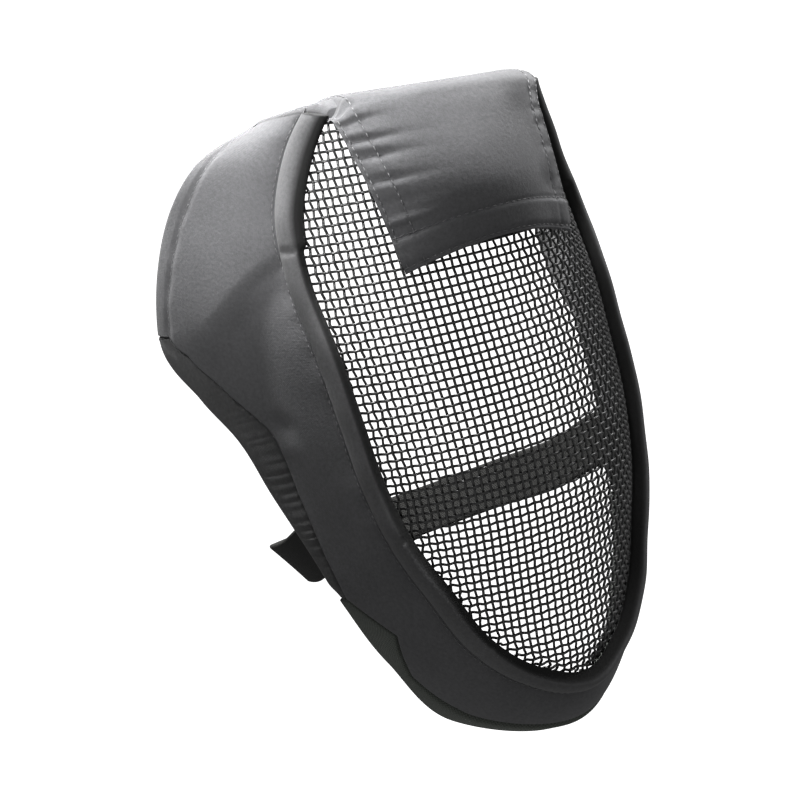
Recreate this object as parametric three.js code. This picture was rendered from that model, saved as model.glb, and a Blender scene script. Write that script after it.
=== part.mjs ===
// Archery tag face mask: a padded cloth shell round a formed wire screen, with a
// forehead flap, elastic edge bindings and a webbing strap round the back of the head.
// Millimetres. +Z is up to the crown, the face looks along -Y, +X is the wearer's left.
import * as THREE from 'three';
import { mergeVertices } from 'three/addons/utils/BufferGeometryUtils.js';

// ---------------------------------------------------------------- driving dimensions
const gap = 0.35; // clearance between pieces that lie on each other
const screenThickness = 2; // two wires, one over the other
const screenRecess = 3.2; // how deep the screen lies under the lip of the trim
const screenArc = Math.PI / 3; // half angle of the arc across the screen
const screenTopRow = 0.48; // where the screen stops under the crown, in rows
const screenMargin = 0.72; // part of the trim's width that the screen runs under
const fanHeight = -80; // below this height the screen's sections fan round the chin
const trimCrown = 4.6; // how far the trim puffs out
const trimDepth = 2.5; // how far its underside lies below the lip
const shellThickness = 4; // padded cloth
const bulgePower = 0.7; // below 1 the padding rises quickly at its edges
const seamDip = 0.9; // the shell starts this far down in the seam
const seamFade = 2; // and comes up over about this width
const hemWidth = 7; // from the rear edge to its stitch line
const hemDip = 0.8;
const hemHalfWidth = 1.6;
const shellCorner = { above: 2.87, below: 2.95, end: 3.3 }; // rows where its rear edge steps in
const jawRow = 8.5; // where it is cut back furthest, over the liner
const hemEnd = { from: 2.9, to: 3.2 }; // rows over which the stitch line fades, at the rear corner
const valleySpread = 0.15; // as a share of the shell's width
const bindingThickness = 6.6;
const bindingDepth = 2.4; // how far its middle lies below the shell's outer face
const bindingClearance = 1.2; // between its front and the shell's edge
const bindingReach = { from: 2.96, to: 7.78 }; // rows
const bindingTaper = { start: 0.35, end: 0.75, least: 0.25 }; // rows, rows, share of the radius
const gatherReach = { from: 3.7, to: 7.0 }; // rows
const gatherDepth = 0.4;
const linerReach = 7.86; // row where the liner starts to show at the jaw
const linerLip = 2.4; // it folds up past the shell's edge at least this far in
const linerTuck = 14; // how far it runs up inside the shell
const linerThickness = 1.8;
const linerClearance = 0.6; // between the shell's inner face and the liner
const crownThickness = 3.5;
const crownRise = { centre: 127.6, side: 124.4 };
const crownReach = { front: -29, frontSide: -7, rear: 40, rearSide: 34 };
const crownSideGap = 1.9;
const crownFold = { drop: 2.6, share: 0.18 }; // its front edge turns down over the trim
const crownFall = 2.2; // and its rear edge sinks a little
const flapThickness = 2.4;
const strapWidth = 24;
const strapThickness = 1.8;
const askew = 0.001; // the crown sits tilted: each mm of height leans by this per mm across

// One row for each section from the crown (first) to the middle of the chin (last).
// x is half the width of the opening; out and back lead from its lip to the seam;
// front is where the screen's middle lies at that height.
const rimRows = [
  { x: 49, y: -9, z: 124, out: 5, back: 8, front: -31.5 },
  { x: 56, y: 1, z: 109, out: 5, back: 10, front: -32 },
  { x: 63, y: 9, z: 87, out: 4.5, back: 11, front: -33.2 },
  { x: 65.8, y: 8.3, z: 61, out: 4.5, back: 11, front: -35.4 },
  { x: 65.3, y: 2, z: 34, out: 4.5, back: 11, front: -38 },
  { x: 64, y: -0.5, z: 6, out: 4.5, back: 11, front: -40.2 },
  { x: 62.5, y: -1.8, z: -22, out: 4.5, back: 11, front: -40.3 },
  { x: 57, y: -3.5, z: -50, out: 5, back: 10.5, front: -36.6 },
  { x: 47.5, y: -6.5, z: -74, out: 6, back: 10.5, front: -30.5 },
  { x: 37, y: -8, z: -98, out: 6.5, back: 9.5, front: -24.5 },
  { x: 21.5, y: -12.5, z: -116, out: 6.5, back: 9, front: -20.5 },
  { x: 0, y: -16, z: -125.5, out: 7, back: 9, front: -16 },
];

// The rear edge of the mask at the same sections, with the padding between seam and edge:
// bulge outward, and a valley that runs down the cheek at a share of the width.
const edgeRows = [
  { x: 61, y: 38, z: 122, bulge: 2.5, valley: 0, valleyAt: 0.1 },
  { x: 84.5, y: 50, z: 111, bulge: 5, valley: 0, valleyAt: 0.1 },
  { x: 95, y: 77, z: 84, bulge: 6, valley: 2.5, valleyAt: 0.17 },
  { x: 98.5, y: 100, z: 43, bulge: 5, valley: 6.5, valleyAt: 0.33 },
  { x: 94, y: 86, z: 19, bulge: 4.5, valley: 6.5, valleyAt: 0.45 },
  { x: 90, y: 68.5, z: 1, bulge: 4.5, valley: 3.5, valleyAt: 0.62 },
  { x: 85.5, y: 61, z: -23, bulge: 4.5, valley: 0.5, valleyAt: 0.75 },
  { x: 79, y: 53, z: -50, bulge: 4.5, valley: 0, valleyAt: 0.75 },
  { x: 72, y: 48, z: -77, bulge: 4.5, valley: 0, valleyAt: 0.75 },
  { x: 61.5, y: 44, z: -105, bulge: 5, valley: 0, valleyAt: 0.75 },
  { x: 41, y: 39, z: -137, bulge: 5.5, valley: 0, valleyAt: 0.75 },
  { x: 0, y: 22, z: -152.5, bulge: 6, valley: 0, valleyAt: 0.75 },
];

// How far the shell stops short of the rear edge, to make room for binding and liner.
const insetRows = [
  { at: 0, inset: 0 },
  { at: shellCorner.above, inset: 0 },
  { at: shellCorner.below, inset: 12 },
  { at: shellCorner.end, inset: 21 },
  { at: 4, inset: 20 },
  { at: 5.1, inset: 20 },
  { at: 5.85, inset: 17 },
  { at: 6.4, inset: 14 },
  { at: 7.05, inset: 9.5 },
  { at: 7.8, inset: 6.5 },
  { at: jawRow, inset: 21 },
  { at: 9.2, inset: 10 },
  { at: 9.8, inset: 15 },
  { at: 11, inset: 16 },
];

// The forehead flap, from its sewn end on the crown over the fold and down to its hem.
const flapRows = [
  { halfWidth: 47, sideY: 0, sideZ: 128.4, middleY: 4, middleZ: 129.7 },
  { halfWidth: 47.3, sideY: -5, sideZ: 128.5, middleY: -14, middleZ: 129.7 },
  { halfWidth: 47.8, sideY: -11, sideZ: 126.6, middleY: -30.5, middleZ: 128.9 },
  { halfWidth: 48, sideY: -14.5, sideZ: 120.5, middleY: -36, middleZ: 123 },
  { halfWidth: 46.6, sideY: -16.5, sideZ: 108, middleY: -37.5, middleZ: 108 },
  { halfWidth: 44, sideY: -22, sideZ: 86, middleY: -39, middleZ: 88 },
  { halfWidth: 42, sideY: -26.5, sideZ: 70, middleY: -40.5, middleZ: 76 },
  { halfWidth: 40.5, sideY: -29, sideZ: 58.5, middleY: -41.5, middleZ: 65.5 },
];

// The strap behind the shell: half its width across, how far back, height and lean of its top.
const strapRows = [
  { x: 65, y: 88, z: -59, lean: 26 },
  { x: 55, y: 124, z: -67, lean: 34 },
  { x: 33, y: 154, z: -74, lean: 38 },
  { x: 0, y: 167, z: -77, lean: 39 },
];
const strapStation = 6.95; // the section of the shell where its ends are sewn on inside
const strapSewn = [ // how far in from the rear edge, and how much deeper than flat on the wall
  { back: 28, deeper: 1.5 },
  { back: 18, deeper: 0.9 },
  { back: 7, deeper: 2.6 },
];

// ---------------------------------------------------------------- tables and curves
const chin = rimRows.length - 1;
const lastStation = 2 * chin; // stations run 0 (crown, right) - chin - lastStation (crown, left)

// A table's cell at a whole station; past the chin the table is read backwards and mirrored.
function cell(rows, name, station) {
  const inRange = THREE.MathUtils.clamp(station, 0, lastStation);
  const leftSide = inRange > chin;
  const value = rows[leftSide ? lastStation - inRange : inRange][name];
  return name === 'x' && !leftSide ? -value : value;
}

function smooth(a, b, c, d, t) {
  const slopeB = (c - a) / 2;
  const slopeC = (d - b) / 2;
  const t2 = t * t;
  const t3 = t2 * t;
  return (2 * t3 - 3 * t2 + 1) * b + (t3 - 2 * t2 + t) * slopeB
    + (3 * t2 - 2 * t3) * c + (t3 - t2) * slopeC;
}

// A smooth curve through a column of a girth table, at any station.
function column(rows, name, station) {
  const k = Math.min(Math.floor(station), lastStation - 1);
  return smooth(cell(rows, name, k - 1), cell(rows, name, k), cell(rows, name, k + 1),
    cell(rows, name, k + 2), station - k);
}

// The same for a plain table whose rows are one step apart.
function along(rows, name, place) {
  const last = rows.length - 1;
  const k = Math.min(Math.floor(place), last - 1);
  const value = (i) => rows[THREE.MathUtils.clamp(i, 0, last)][name];
  return smooth(value(k - 1), value(k), value(k + 1), value(k + 2), place - k);
}

// How far in from the rear edge the shell ends.
function insetAt(station) {
  const at = chin - Math.abs(station - chin);
  const next = Math.max(1, insetRows.findIndex((row) => row.at >= at));
  const a = insetRows[next - 1];
  const b = insetRows[next];
  return THREE.MathUtils.mapLinear(at, a.at, b.at, a.inset, b.inset);
}

function pointOf(rows, station) {
  return new THREE.Vector3(column(rows, 'x', station), column(rows, 'y', station),
    column(rows, 'z', station));
}

const lip = (station) => pointOf(rimRows, station);
const edge = (station) => pointOf(edgeRows, station);

// The seam between the trim and the shell, out and back from the lip.
function seam(station) {
  const step = 0.02;
  const run = lip(station + step).sub(lip(station - step));
  const outward = new THREE.Vector3(run.z, 0, -run.x).normalize();
  const back = new THREE.Vector3(0, column(rimRows, 'back', station), 0);
  return lip(station).addScaledVector(outward, column(rimRows, 'out', station)).add(back);
}

// The direction that points out of a surface(station, share).
function outwardOf(surface, station, share) {
  const step = 0.02;
  const acrossWay = surface(station, share + step).sub(surface(station, share - step));
  const girthWay = surface(station + step, share).sub(surface(station - step, share));
  return acrossWay.cross(girthWay).normalize();
}

// ---------------------------------------------------------------- surfaces
const shellChord = (station, share) => seam(station).lerp(edge(station), share);
const shellWidth = (station) => seam(station).distanceTo(edge(station));

function shellRelief(station, share) {
  const fromEdge = (1 - share) * shellWidth(station);
  const fromSeam = share * shellWidth(station);
  const arch = Math.max(0, 4 * share * (1 - share)) ** bulgePower;
  const valleyOffset = (share - column(edgeRows, 'valleyAt', station)) / valleySpread;
  const row = chin - Math.abs(station - chin);
  const hem = hemDip * (1 - THREE.MathUtils.smoothstep(row, hemEnd.from, hemEnd.to));
  const hemOffset = (fromEdge - hemWidth) / hemHalfWidth;
  return column(edgeRows, 'bulge', station) * arch
    - column(edgeRows, 'valley', station) * Math.exp(-valleyOffset * valleyOffset)
    - hem * Math.exp(-hemOffset * hemOffset)
    - seamDip * Math.exp(-fromSeam / seamFade);
}

function shellSurface(station, share) {
  const relief = shellRelief(station, share);
  return shellChord(station, share).addScaledVector(outwardOf(shellChord, station, share), relief);
}

// A point `height` above the shell's outer face, `back` millimetres in from the rear edge.
function onShell(station, back, height) {
  const share = 1 - back / shellWidth(station);
  return shellSurface(station, share).addScaledVector(outwardOf(shellSurface, station, share), height);
}

// The trim's underside and the screen's margin lie along the chord from lip to seam.
const trimChord = (station, share) => lip(station).lerp(seam(station), share);

function onTrim(station, share, height) {
  return trimChord(station, share).addScaledVector(outwardOf(trimChord, station, 0.5), height);
}

// The row of the rim table at a given height, by halving.
function rowAtHeight(z) {
  let low = 0;
  let high = chin;
  for (let i = 0; i < 30; i += 1) {
    const middle = (low + high) / 2;
    if (column(rimRows, 'z', middle) > z) low = middle;
    else high = middle;
  }
  return (low + high) / 2;
}

// The dome of the screen: its depth at a place across and up.
function domeDepth(x, z) {
  const row = rowAtHeight(z);
  const rim = lip(row);
  const share = Math.min(1, Math.abs(x) / Math.max(0.01, Math.abs(rim.x)));
  const drop = Math.sqrt(1 - (share * Math.sin(screenArc)) ** 2) - Math.cos(screenArc);
  const rise = drop / (1 - Math.cos(screenArc));
  return THREE.MathUtils.lerp(rim.y, column(rimRows, 'front', row), rise);
}

function domePoint(station, share) { // share 0 at the lip, 1 on the middle line
  const rim = lip(station);
  const below = Math.min(0, rim.z - fanHeight);
  const z = THREE.MathUtils.lerp(rim.z, rim.z - below / 2, share);
  const x = rim.x * (1 - share);
  return new THREE.Vector3(x, share === 0 ? rim.y : domeDepth(x, z), z);
}

function domeNormal(point) {
  const step = 0.5;
  const slopeX = (domeDepth(point.x + step, point.z) - domeDepth(point.x - step, point.z)) / (2 * step);
  const slopeZ = (domeDepth(point.x, point.z + step) - domeDepth(point.x, point.z - step)) / (2 * step);
  return new THREE.Vector3(slopeX, -1, slopeZ).normalize();
}

// ---------------------------------------------------------------- solids
// The tilt of the crown, which every vertex takes.
function settle(point) {
  const lean = point.z > 0 ? point.z * point.x * askew : 0;
  return new THREE.Vector3(point.x, point.y, point.z - lean);
}

function geometryFrom(positions, indices) {
  const loose = new THREE.BufferGeometry();
  loose.setAttribute('position', new THREE.Float32BufferAttribute(positions, 3));
  loose.setIndex(indices);
  const merged = mergeVertices(loose, 1e-4);
  const index = merged.index.array;
  const kept = [];
  for (let i = 0; i < index.length; i += 3) {
    const [a, b, c] = [index[i], index[i + 1], index[i + 2]];
    if (a !== b && b !== c && c !== a) kept.push(a, b, c);
  }
  const volume = signedVolume(merged.attributes.position, kept);
  if (volume < 0) kept.reverse();
  merged.setIndex(kept);
  merged.computeVertexNormals();
  return merged;
}

function signedVolume(position, index) {
  const a = new THREE.Vector3();
  const b = new THREE.Vector3();
  const c = new THREE.Vector3();
  let sum = 0;
  for (let i = 0; i < index.length; i += 3) {
    a.fromBufferAttribute(position, index[i]);
    b.fromBufferAttribute(position, index[i + 1]);
    c.fromBufferAttribute(position, index[i + 2]);
    sum += a.dot(b.cross(c)) / 6;
  }
  return sum;
}

// Skins one outline, placed at each station in turn. The end faces are ladders of quads
// between the outline's two halves, so they keep to a curved wall.
function loft(stations, outline, place, closedEnd = true) {
  const positions = [];
  stations.forEach((station) => outline.forEach((spot) => {
    positions.push(...settle(place(station, spot)).toArray());
  }));
  const count = outline.length;
  const indices = [];
  for (let i = 0; i < stations.length - 1; i += 1) {
    for (let j = 0; j < count; j += 1) {
      const a = i * count + j;
      const b = i * count + (j + 1) % count;
      indices.push(a, b, a + count, b, b + count, a + count);
    }
  }
  const last = (stations.length - 1) * count;
  for (let j = 0; j < Math.floor((count - 1) / 2); j += 1) {
    const [a, b, c, d] = [j, j + 1, count - 2 - j, count - 1 - j];
    indices.push(d, b, a, d, c, b);
    if (closedEnd) indices.push(last + a, last + b, last + d, last + b, last + c, last + d);
  }
  return geometryFrom(positions, indices);
}

function range(from, to, steps) {
  return Array.from({ length: steps + 1 }, (_, i) => THREE.MathUtils.lerp(from, to, i / steps));
}

// A wall's outline: one line of places out and the same line back at the other face.
function wallOutline(places, top, bottom) {
  const upper = places.map((place) => ({ along: place, height: top }));
  const lower = places.map((place) => ({ along: place, height: bottom })).reverse();
  return [...upper, ...lower];
}

// ---------------------------------------------------------------- pieces
// Each section runs under the trim, over the dome and under the other trim. Its places go
// from 0 at the right lip over 1 on the middle line to 2 at the left lip.
function wireScreen() {
  const rightHalf = [-screenMargin, 0.001, 0.09, 0.22, 0.38, 0.56, 0.77];
  const leftHalf = rightHalf.map((share) => 2 - share).reverse();
  const outline = wallOutline([...rightHalf, 1, ...leftHalf], -screenRecess,
    -screenRecess - screenThickness);
  const place = (row, spot) => {
    const right = spot.along <= 1;
    const station = right ? row : lastStation - row;
    const share = right ? spot.along : 2 - spot.along;
    if (share < 0) return onTrim(station, -share, spot.height);
    const point = domePoint(station, share);
    return point.addScaledVector(domeNormal(point), spot.height);
  };
  return loft(range(screenTopRow, chin, 30), outline, place, false);
}

// A puffy roll over the lip, with a flat underside. `along` is a share of the way from lip
// to seam.
function screenTrim() {
  const outline = [
    { along: 0.07, height: -trimDepth },
    { along: 0, height: -trimDepth * 0.35 },
    { along: 0.05, height: trimCrown * 0.35 },
    { along: 0.2, height: trimCrown * 0.8 },
    { along: 0.42, height: trimCrown },
    { along: 0.68, height: trimCrown * 0.84 },
    { along: 0.88, height: trimCrown * 0.42 },
    { along: 0.965, height: -0.5 },
    { along: 0.92, height: -trimDepth },
  ];
  const place = (station, spot) => onTrim(station, spot.along, spot.height);
  return loft(range(0, lastStation, 88), outline, place);
}

// One padded horseshoe from the crown down round the chin and up again.
function paddedShell() {
  const shares = [0, 0.05, 0.14, 0.25, 0.36, 0.47, 0.58, 0.7, 0.82, 0.92, 1];
  const outline = wallOutline(shares, 0, -shellThickness);
  const place = (station, spot) => {
    const width = shellWidth(station);
    const inset = insetAt(station);
    const back = THREE.MathUtils.lerp(width - 2 * gap, inset, spot.along);
    return onShell(station, back, spot.height);
  };
  const stations = [...range(0, shellCorner.above, 12), shellCorner.below,
    ...range(shellCorner.end, jawRow, 20), ...range(jawRow, chin, 10).slice(1)];
  const mirrored = stations.slice(0, -1).reverse().map((station) => lastStation - station);
  return loft([...stations, ...mirrored], outline, place);
}

// An elastic tube along the rear edge, drawn in on every other section where it is gathered.
function edgeBinding(side) {
  const sides = 8;
  const outline = range(0, 2 * Math.PI, sides).slice(0, sides).map((turn) => ({
    along: Math.cos(turn), height: Math.sin(turn),
  }));
  const stations = range(bindingReach.from, bindingReach.to, 58);
  const swell = (station) => {
    const start = (station - bindingReach.from) / bindingTaper.start;
    const end = (bindingReach.to - station) / bindingTaper.end;
    return Math.max(bindingTaper.least, THREE.MathUtils.smoothstep(Math.min(start, end), -0.25, 0.9));
  };
  const gather = (station) => {
    const gathered = station > gatherReach.from && station < gatherReach.to;
    const ridge = stations.indexOf(station) % 2 === 0;
    return gathered && ridge ? gatherDepth : 0;
  };
  const place = (station, spot) => {
    const size = swell(station);
    const halfWidth = (insetAt(station) - bindingClearance) / 2;
    const halfHeight = size * bindingThickness / 2 - gather(station);
    const signed = side < 0 ? station : lastStation - station;
    return onShell(signed, halfWidth * (1 + spot.along), halfHeight * spot.height - bindingDepth);
  };
  return loft(stations, outline, place);
}

// The strip of lining that shows past the shell and runs up inside it. Each place lies in
// from the rear edge of the mask, or from the shell's own edge where `fromShell` is 1.
function innerLiner() {
  const outerFace = -shellThickness - linerClearance;
  const innerFace = outerFace - linerThickness;
  const outline = [
    { along: 0, height: -3.2, fromShell: 0 },
    { along: 0.7, height: -1.5, fromShell: 0 },
    { along: -1.6, height: -1.5, fromShell: 1 },
    { along: -0.2, height: outerFace, fromShell: 1 },
    { along: linerTuck, height: outerFace, fromShell: 1 },
    { along: linerTuck, height: innerFace, fromShell: 1 },
    { along: 0, height: innerFace, fromShell: 1 },
    { along: 0.8, height: -4.8, fromShell: 0 },
  ];
  const place = (station, spot) => {
    const back = spot.along + spot.fromShell * Math.max(insetAt(station), linerLip);
    return onShell(station, back, spot.height);
  };
  return loft(range(linerReach, lastStation - linerReach, 36), outline, place);
}

// The panel over the top of the head, between the creases where the shell's two arms end.
function crownPanel() {
  const outline = wallOutline([0, 0.06, 0.18, 0.4, 0.6, 0.8, 1], 0, -crownThickness);
  const frontEnd = lip(lastStation);
  const rearEnd = edge(lastStation);
  const place = (across, spot) => {
    const arch = across * across;
    const front = THREE.MathUtils.lerp(crownReach.front, crownReach.frontSide, arch);
    const rear = THREE.MathUtils.lerp(crownReach.rear, crownReach.rearSide, arch);
    const y = THREE.MathUtils.lerp(front, rear, spot.along);
    const crease = THREE.MathUtils.mapLinear(y, frontEnd.y, rearEnd.y, frontEnd.x, rearEnd.x);
    const halfWidth = Math.min(crease, rearEnd.x) - crownSideGap;
    const frontFold = crownFold.drop * Math.max(0, 1 - spot.along / crownFold.share) ** 2;
    const rearFall = crownFall * spot.along ** 3;
    const rise = THREE.MathUtils.lerp(crownRise.centre, crownRise.side, arch ** 4);
    return new THREE.Vector3(halfWidth * across, y, rise - frontFold - rearFall + spot.height);
  };
  const across = [0, 0.25, 0.5, 0.7, 0.82, 0.9, 0.96, 1];
  return loft([...across.slice(1).reverse().map((share) => -share), ...across], outline, place);
}

// A flat flap sewn to the crown, folded over its front and hanging clear of the screen.
function foreheadFlap() {
  const surface = (place, across) => {
    const arch = across * across;
    const at = (name) => along(flapRows, name, place);
    return new THREE.Vector3(at('halfWidth') * across,
      THREE.MathUtils.lerp(at('middleY'), at('sideY'), arch),
      THREE.MathUtils.lerp(at('middleZ'), at('sideZ'), arch));
  };
  const outline = wallOutline([-1, -0.86, -0.66, -0.4, 0, 0.4, 0.66, 0.86, 1], flapThickness / 2,
    -flapThickness / 2);
  const place = (row, spot) => {
    const normal = outwardOf(surface, row, spot.along);
    return surface(row, spot.along).addScaledVector(normal, -spot.height);
  };
  return loft(range(0, flapRows.length - 1, 22), outline, place);
}

// Webbing from one side of the shell round the back of the head to the other, sewn on inside.
function headStrap() {
  const halfLoop = [];
  const step = 0.3;
  strapSewn.forEach((row) => {
    const depth = -shellThickness - gap - strapThickness / 2 - row.deeper;
    const above = onShell(strapStation - step, row.back, 0);
    const wall = above.sub(onShell(strapStation + step, row.back, 0));
    const lean = THREE.MathUtils.radToDeg(Math.atan2(-wall.x, wall.z));
    halfLoop.push({ point: onShell(strapStation, row.back, depth), lean });
  });
  strapRows.forEach((row) => {
    halfLoop.push({ point: new THREE.Vector3(-row.x, row.y, row.z), lean: row.lean });
  });
  const otherHalf = halfLoop.slice(0, -1).reverse().map(({ point, lean }) => ({
    point: new THREE.Vector3(-point.x, point.y, point.z), lean,
  }));
  const loop = [...halfLoop, ...otherHalf];
  const route = new THREE.CatmullRomCurve3(loop.map(({ point }) => point), false, 'centripetal');
  const leanRows = loop.map(({ lean }) => ({ lean }));
  const outline = wallOutline([-0.5, 0, 0.5], 0.5, -0.5);
  const place = (share, spot) => {
    const run = route.getTangent(share);
    const outward = new THREE.Vector3(run.y, -run.x, 0).normalize().multiplyScalar(-1);
    const lean = THREE.MathUtils.degToRad(along(leanRows, 'lean', share * (loop.length - 1)));
    const up = new THREE.Vector3(0, 0, Math.cos(lean)).addScaledVector(outward, Math.sin(lean));
    up.addScaledVector(run, -up.dot(run)).normalize();
    const face = up.clone().cross(run).normalize();
    return route.getPoint(share).addScaledVector(up, spot.along * strapWidth)
      .addScaledVector(face, spot.height * strapThickness);
  };
  return loft(range(0, 1, 48), outline, place);
}

// ---------------------------------------------------------------- assembly
const finishes = {
  wire: { color: 0x1b1b1c, roughness: 0.45, metalness: 0.6 },
  cloth: { color: 0x4b4b4e, roughness: 0.9, metalness: 0 },
  trim: { color: 0x444447, roughness: 0.9, metalness: 0 },
  binding: { color: 0x3f3f41, roughness: 0.95, metalness: 0 },
  liner: { color: 0x4d504c, roughness: 0.95, metalness: 0 },
  webbing: { color: 0x1c1c1b, roughness: 0.85, metalness: 0 },
};

const group = new THREE.Group();

function add(name, geometry, finish) {
  const mesh = new THREE.Mesh(geometry, new THREE.MeshStandardMaterial(finishes[finish]));
  mesh.name = name;
  group.add(mesh);
}

add('wire_screen', wireScreen(), 'wire');
add('screen_trim', screenTrim(), 'trim');
add('padded_shell', paddedShell(), 'cloth');
add('right_edge_binding', edgeBinding(-1), 'binding');
add('left_edge_binding', edgeBinding(1), 'binding');
add('inner_liner', innerLiner(), 'liner');
add('crown_panel', crownPanel(), 'cloth');
add('forehead_flap', foreheadFlap(), 'cloth');
add('head_strap', headStrap(), 'webbing');

export default group;
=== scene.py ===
# Archery tag face mask: cloth, wires, stitches and light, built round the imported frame.
import math

import bpy
import numpy as np
from mathutils import Matrix, Vector


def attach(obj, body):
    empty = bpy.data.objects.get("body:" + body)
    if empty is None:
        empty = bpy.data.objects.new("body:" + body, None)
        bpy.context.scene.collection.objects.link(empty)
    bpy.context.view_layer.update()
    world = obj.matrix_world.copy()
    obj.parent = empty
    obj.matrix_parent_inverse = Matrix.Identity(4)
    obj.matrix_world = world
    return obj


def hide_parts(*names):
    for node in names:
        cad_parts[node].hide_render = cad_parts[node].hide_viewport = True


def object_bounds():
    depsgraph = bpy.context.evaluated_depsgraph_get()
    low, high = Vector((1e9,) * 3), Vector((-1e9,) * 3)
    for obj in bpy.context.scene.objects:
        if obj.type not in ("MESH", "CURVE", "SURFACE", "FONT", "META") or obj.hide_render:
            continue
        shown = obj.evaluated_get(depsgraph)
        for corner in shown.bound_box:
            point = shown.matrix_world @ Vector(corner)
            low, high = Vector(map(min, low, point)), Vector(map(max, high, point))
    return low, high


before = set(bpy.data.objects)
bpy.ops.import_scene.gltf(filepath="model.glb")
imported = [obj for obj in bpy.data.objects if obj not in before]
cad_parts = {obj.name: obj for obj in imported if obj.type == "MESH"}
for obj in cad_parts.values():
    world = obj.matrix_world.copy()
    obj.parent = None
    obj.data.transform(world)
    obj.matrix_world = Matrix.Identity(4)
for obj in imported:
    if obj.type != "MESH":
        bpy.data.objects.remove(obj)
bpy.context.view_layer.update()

millimetre = 0.001  # the tables below are in millimetres, the scene in metres

# The mask's own measures, one row for each section from the crown to the middle of the chin. x is
# half the width of the opening; out and back lead from its lip to the seam; front is where the
# screen's middle lies and roll is how far the trim stands up between lip and seam.
rim = {
    "x": (49, 56, 63, 65.8, 65.3, 64, 62.5, 57, 47.5, 37, 21.5, 0),
    "y": (-9, 1, 9, 8.3, 2, -0.5, -1.8, -3.5, -6.5, -8, -12.5, -16),
    "z": (124, 109, 87, 61, 34, 6, -22, -50, -74, -98, -116, -125.5),
    "out": (5, 5, 4.5, 4.5, 4.5, 4.5, 4.5, 5, 6, 6.5, 6.5, 7),
    "back": (8, 10, 11, 11, 11, 11, 11, 10.5, 10.5, 9.5, 9, 9),
    "front": (-31.5, -32, -33.2, -35.4, -38, -40.2, -40.3, -36.6, -30.5, -24.5, -20.5, -16),
    "roll": (2.8, 3.1, 3.4, 3.6, 3.8, 4.0, 4.3, 4.6, 4.7, 4.7, 4.7, 4.6),
}
# The rear edge at the same sections, with the padding between seam and edge; hem is how far in
# from the edge its stitches run.
rear = {
    "x": (61, 84.5, 95, 98.5, 94, 90, 85.5, 79, 72, 61.5, 41, 0),
    "y": (38, 50, 77, 100, 86, 68.5, 61, 53, 48, 44, 39, 22),
    "z": (122, 111, 84, 43, 19, 1, -23, -50, -77, -105, -137, -152.5),
    "bulge": (1.2, 2.2, 5.6, 9.4, 5.2, 3, 2.4, 2.6, 3.4, 4.5, 5.5, 6),
    "valley": (0, 0, 2.5, 5.2, 5.8, 4.8, 3.2, 1.8, 0.6, 0, 0, 0),
    "valleyAt": (0.1, 0.1, 0.12, 0.27, 0.5, 0.62, 0.62, 0.58, 0.55, 0.55, 0.55, 0.55),
    "hem": (8.5, 9, 12, 14, 14, 14, 14, 14, 14, 14, 14, 14),
}
# How far the shell stops short of the rear edge, to make room for binding and liner.
inset = {
    "at": (0, 2.87, 2.95, 3.3, 5.1, 5.85, 6.4, 7.05, 7.8, 8.5, 9.2, 9.8, 11),
    "gap": (0, 0, 12, 21, 20, 17, 14, 9.5, 6.5, 21, 10, 15, 16),
}
rim, rear, inset = ({name: np.array(cells, float) for name, cells in table.items()}
                    for table in (rim, rear, inset))
chin = len(rim["x"]) - 1
lastStation = 2 * chin  # stations run from the crown on the right over the chin to the left
askew = 0.001  # the crown sits tilted: each mm of height leans by this per mm across
nearBy = 0.02  # rows, or share of the way across: two looks at a surface give its slope


def cell(table, name, station):  # the left side mirrors the right one
    inRange = np.clip(station, 0, lastStation).astype(int)
    leftSide = inRange > chin
    value = table[name][np.where(leftSide, lastStation - inRange, inRange)]
    return np.where(leftSide, value, -value) if name == "x" else value


def smoothRun(pick, last, place):  # a Hermite curve through what pick gives at 0, 1 and so on
    k = np.minimum(np.floor(place), last - 1)
    a, b, c, d = (pick(k + step) for step in (-1, 0, 1, 2))
    t = place - k
    t2, t3 = t * t, t * t * t
    slopes = (t3 - 2 * t2 + t) * (c - a) / 2 + (t3 - t2) * (d - b) / 2
    return (2 * t3 - 3 * t2 + 1) * b + (3 * t2 - 2 * t3) * c + slopes


def column(table, name, station):
    return smoothRun(lambda k: cell(table, name, k), lastStation, np.asarray(station, float))


def pointOf(table, station):
    return np.stack([column(table, name, station) for name in "xyz"], -1)


def unit(vectors):
    return vectors / np.maximum(np.linalg.norm(vectors, axis=-1, keepdims=True), 1e-9)


def runAlong(points):  # running length through a line of points
    return np.concatenate([[0], np.cumsum(np.linalg.norm(np.diff(points, axis=0), axis=-1))])


def blend(first, last, share):
    return first + (last - first) * share


def smoothstep(value, low, high):
    t = np.clip((value - low) / (high - low), 0, 1)
    return t * t * (3 - 2 * t)


def fade(value, low, high):
    return 1 - smoothstep(value, low, high)


def hump(value, centre, halfWidth):
    return np.exp(-((value - centre) / halfWidth) ** 2)


def lip(station):
    return pointOf(rim, station)


def seam(station):  # where the trim meets the shell
    run = lip(station + nearBy) - lip(station - nearBy)
    outward = unit(run[..., ::-1] * (1, 0, -1))
    back = column(rim, "back", station)[..., None] * (0, 1, 0)
    return lip(station) + outward * column(rim, "out", station)[..., None] + back


def outwardOf(surface, station, share):
    across = surface(station, share + nearBy) - surface(station, share - nearBy)
    girth = surface(station + nearBy, share) - surface(station - nearBy, share)
    return unit(np.cross(across, girth))


def raised(surface, station, share, height):  # a point lifted off a surface
    normal = outwardOf(surface, station, share)
    return surface(station, share) + normal * np.asarray(height)[..., None]


def rowOf(station):  # the row of the tables that a station on either side reads
    return chin - np.abs(station - chin)


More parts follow.
